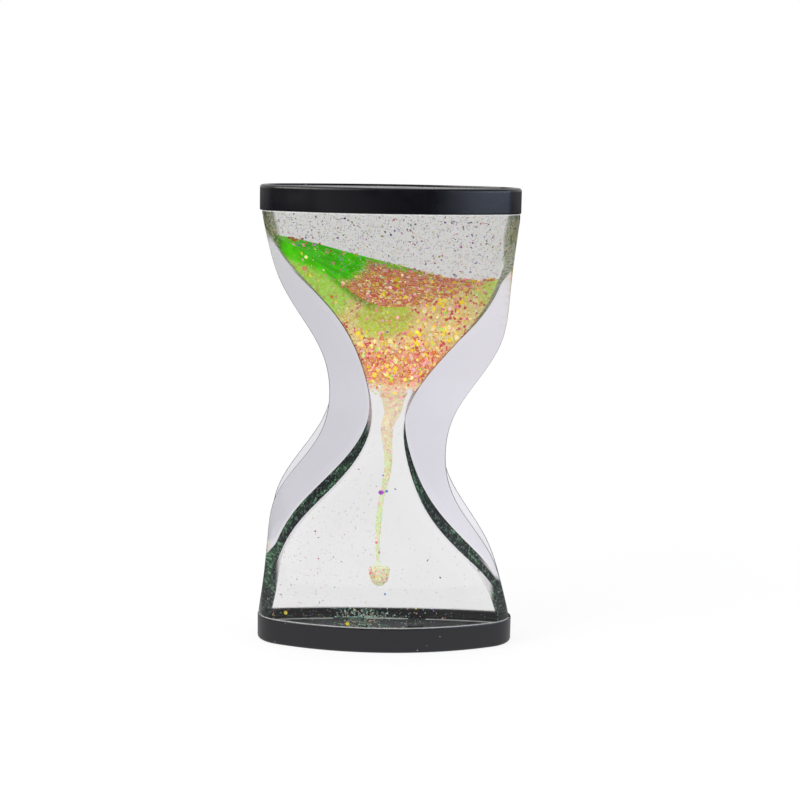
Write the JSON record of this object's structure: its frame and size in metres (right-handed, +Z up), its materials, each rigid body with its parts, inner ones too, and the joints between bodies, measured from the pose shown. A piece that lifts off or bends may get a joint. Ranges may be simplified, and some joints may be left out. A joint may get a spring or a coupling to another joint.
{
  "type": "liquid motion timer",
  "caption": "Clear waved hourglass vessel between black end caps; a heavy glitter-filled liquid trickles through the neck and falls in drops through a clear liquid.",
  "frame": {"origin": "middle of the underside of the bottom cap", "axes": "+Z up through the neck, +X to the right of the front view, front towards -Y"},
  "size_m": [0.0788, 0.036, 0.14],
  "materials": {
    "clear_acrylic": "clear polished acrylic",
    "black_cap": "moulded satin black plastic",
    "black_plate": "smooth black plastic",
    "plug_rubber": "matte black rubber",
    "clear_liquid": "clear oily liquid",
    "green_liquid": "translucent green liquid",
    "pale_liquid": "translucent pale green liquid",
    "gold_film": "metallic gold flakes",
    "copper_film": "metallic copper red flakes",
    "pink_film": "metallic pink flakes",
    "violet_film": "metallic violet flakes",
    "lime_film": "metallic lime flakes",
    "mixed_film": "metallic flakes of mixed colours"
  },
  "bodies": {
    "timer": {"clear_body": "clear_acrylic", "top_cap": "black_cap", "bottom_cap": "black_cap", "top_seal_plate": "black_plate", "bottom_seal_plate": "black_plate", "fill_plug": "plug_rubber", "vent_plug": "plug_rubber", "upper_clear_liquid": "clear_liquid", "lower_clear_liquid": "clear_liquid", "coloured_liquid": "green_liquid", "trickle": "pale_liquid", "settled_glitter": "mixed_film", "gold_glitter": "gold_film", "copper_glitter": "copper_film", "pink_glitter": "pink_film", "violet_glitter": "violet_film", "lime_glitter": "lime_film"},
    "drop": {"falling_drop": "pale_liquid", "drop_glitter": "mixed_film"}
  },
  "joints": [
    {"name": "drop_fall", "type": "slide", "parent": "timer", "child": "drop", "axis": [0, 0, 1], "range_m": [-0.0125, 0.033], "deforming": ["trickle", "lower_clear_liquid"]}
  ]
}
